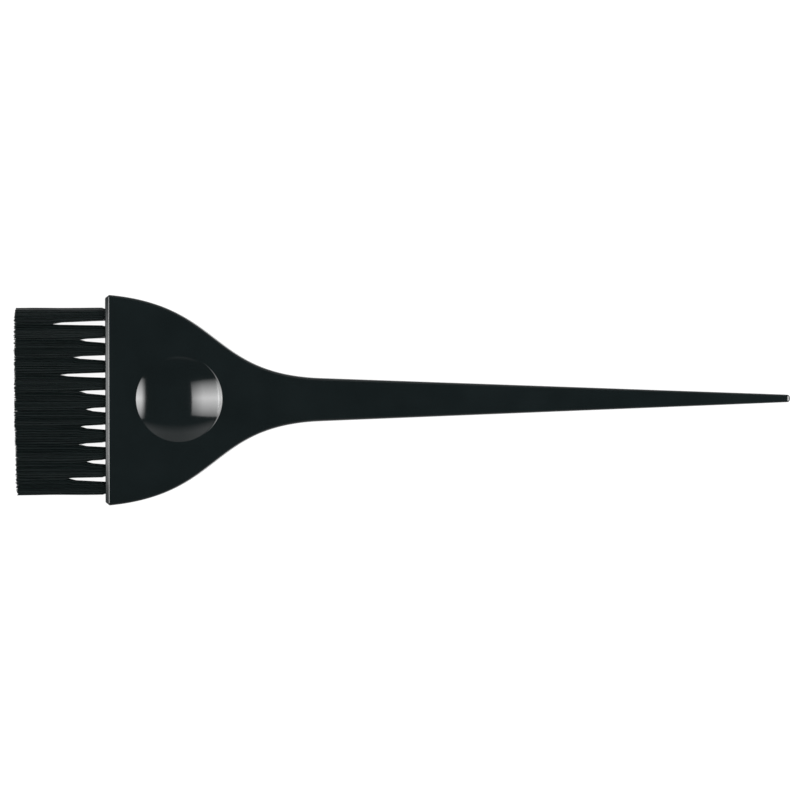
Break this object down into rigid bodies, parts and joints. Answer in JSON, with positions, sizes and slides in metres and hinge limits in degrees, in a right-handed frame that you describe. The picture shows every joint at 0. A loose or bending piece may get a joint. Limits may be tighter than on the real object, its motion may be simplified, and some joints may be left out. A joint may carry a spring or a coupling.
{
  "type": "hair tint brush",
  "caption": "Wide hair-tint brush: flared flat head with a thumb dish, two rows of trimmed bristle tufts and a long tapering pointed tail.",
  "frame": {"origin": "under the middle of the overall length and width, on the plane of the head's back face, which the brush lies on", "axes": "+X from the bristle tips to the tail, +Y across the head, +Z out of the upward face of the head"},
  "size_m": [0.216, 0.0584, 0.009],
  "materials": {
    "handle_plastic": "glossy moulded black plastic",
    "bristle_nylon": "satin black nylon filament",
    "anchor_brass": "drawn flat brass wire, cut ends"
  },
  "bodies": {
    "root": {"handle": "handle_plastic", "tuft_upper_01": "bristle_nylon", "tuft_upper_02": "bristle_nylon", "tuft_upper_03": "bristle_nylon", "tuft_upper_04": "bristle_nylon", "tuft_upper_05": "bristle_nylon", "tuft_upper_06": "bristle_nylon", "tuft_upper_07": "bristle_nylon", "tuft_upper_08": "bristle_nylon", "tuft_upper_09": "bristle_nylon", "tuft_upper_10": "bristle_nylon", "tuft_upper_11": "bristle_nylon", "tuft_lower_01": "bristle_nylon", "tuft_lower_02": "bristle_nylon", "tuft_lower_03": "bristle_nylon", "tuft_lower_04": "bristle_nylon", "tuft_lower_05": "bristle_nylon", "tuft_lower_06": "bristle_nylon", "tuft_lower_07": "bristle_nylon", "tuft_lower_08": "bristle_nylon", "tuft_lower_09": "bristle_nylon", "tuft_lower_10": "bristle_nylon", "tuft_lower_11": "bristle_nylon", "anchor_upper_01": "anchor_brass", "anchor_upper_02": "anchor_brass", "anchor_upper_03": "anchor_brass", "anchor_upper_04": "anchor_brass", "anchor_upper_05": "anchor_brass", "anchor_upper_06": "anchor_brass", "anchor_upper_07": "anchor_brass", "anchor_upper_08": "anchor_brass", "anchor_upper_09": "anchor_brass", "anchor_upper_10": "anchor_brass", "anchor_upper_11": "anchor_brass", "anchor_lower_01": "anchor_brass", "anchor_lower_02": "anchor_brass", "anchor_lower_03": "anchor_brass", "anchor_lower_04": "anchor_brass", "anchor_lower_05": "anchor_brass", "anchor_lower_06": "anchor_brass", "anchor_lower_07": "anchor_brass", "anchor_lower_08": "anchor_brass", "anchor_lower_09": "anchor_brass", "anchor_lower_10": "anchor_brass", "anchor_lower_11": "anchor_brass"}
  },
  "joints": []
}
